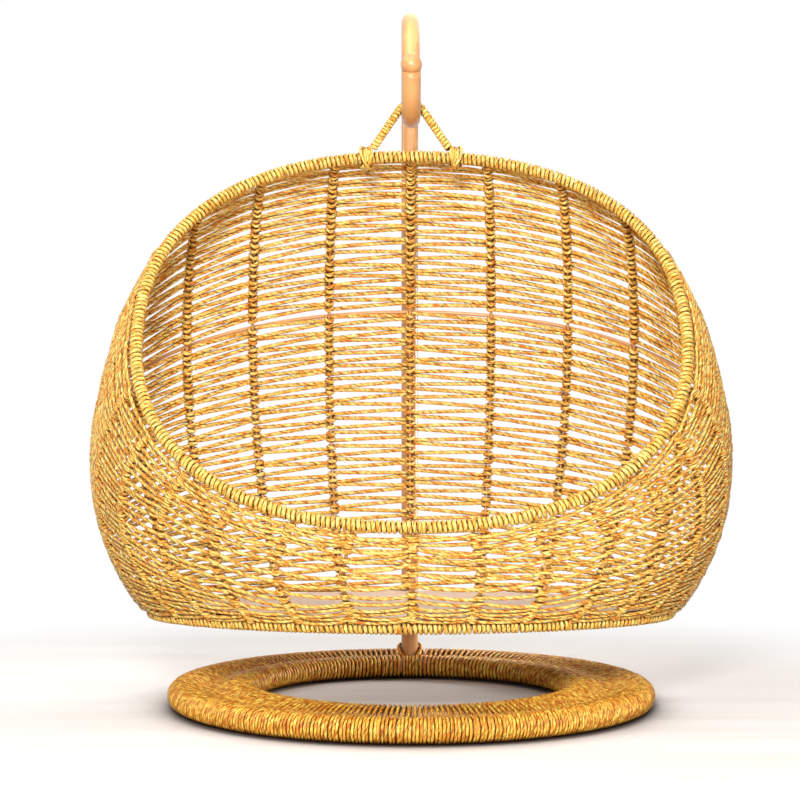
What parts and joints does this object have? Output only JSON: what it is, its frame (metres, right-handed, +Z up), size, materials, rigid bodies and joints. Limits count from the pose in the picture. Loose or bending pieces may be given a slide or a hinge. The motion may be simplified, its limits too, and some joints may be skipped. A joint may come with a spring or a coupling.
{
  "type": "hanging egg chair",
  "caption": "Hanging egg chair: a cord-woven steel-ribbed basket with a seat board, hung by a bail from the hook of a bowed pole on a round cord-wound base.",
  "frame": {"origin": "on the floor at the centre of the round base", "axes": "+Z up, -Y the way the basket faces, the pole behind it at +Y, +X to the right for someone who looks into the basket"},
  "size_m": [1.527, 1.1564, 1.7198],
  "materials": {
    "painted_steel": "satin tan paint",
    "cord": "twisted straw-coloured cord with darker flecks",
    "seat_panel": "plain painted panel",
    "bolt_steel": "plain steel"
  },
  "bodies": {
    "stand": {"base_tie_front": "painted_steel", "base_tie_left": "painted_steel", "base_tie_right": "painted_steel", "base_tube_inner": "painted_steel", "base_tube_outer": "painted_steel", "base_wrap": "cord", "hook_end_cap": "painted_steel", "pole": "painted_steel", "pole_bolt": "bolt_steel", "pole_plate": "painted_steel", "pole_spigot": "painted_steel"},
    "bail": {"bail_lashing_left": "cord", "bail_lashing_right": "cord", "bail_rod": "painted_steel", "bail_wrap_left": "cord", "bail_wrap_right": "cord"},
    "basket": {"bottom_ring_rod": "painted_steel", "bottom_ring_wrap": "cord", "mid_hoop": "painted_steel", "rib_01": "painted_steel", "rib_02": "painted_steel", "rib_03": "painted_steel", "rib_04": "painted_steel", "rib_05": "painted_steel", "rib_06": "painted_steel", "rib_07": "painted_steel", "rib_08": "painted_steel", "rib_09": "painted_steel", "rib_10": "painted_steel", "rib_11": "painted_steel", "rib_12": "painted_steel", "rib_13": "painted_steel", "rib_14": "painted_steel", "rib_15": "painted_steel", "rib_16": "painted_steel", "rib_17": "painted_steel", "rib_18": "painted_steel", "rib_19": "painted_steel", "rib_20": "painted_steel", "rib_21": "painted_steel", "rib_22": "painted_steel", "rib_23": "painted_steel", "rib_24": "painted_steel", "rib_25": "painted_steel", "rib_26": "painted_steel", "rim_rod": "painted_steel", "rim_wrap": "cord", "seat_bar_inner_left": "painted_steel", "seat_bar_inner_right": "painted_steel", "seat_bar_outer_left": "painted_steel", "seat_bar_outer_right": "painted_steel", "seat_board": "seat_panel", "weave_back": "cord", "weave_front": "cord", "weave_left": "cord", "weave_right": "cord"}
  },
  "joints": [
    {"name": "side_swing", "type": "hinge", "parent": "stand", "child": "bail", "pos_m": [0, -0.0024, 1.4008], "axis": [0, 1, 0], "range_deg": [-12, 12]},
    {"name": "fore_aft_swing", "type": "hinge", "parent": "bail", "child": "basket", "pos_m": [0, -0.0024, 1.3036], "axis": [1, 0, 0], "range_deg": [-12, 6]}
  ]
}
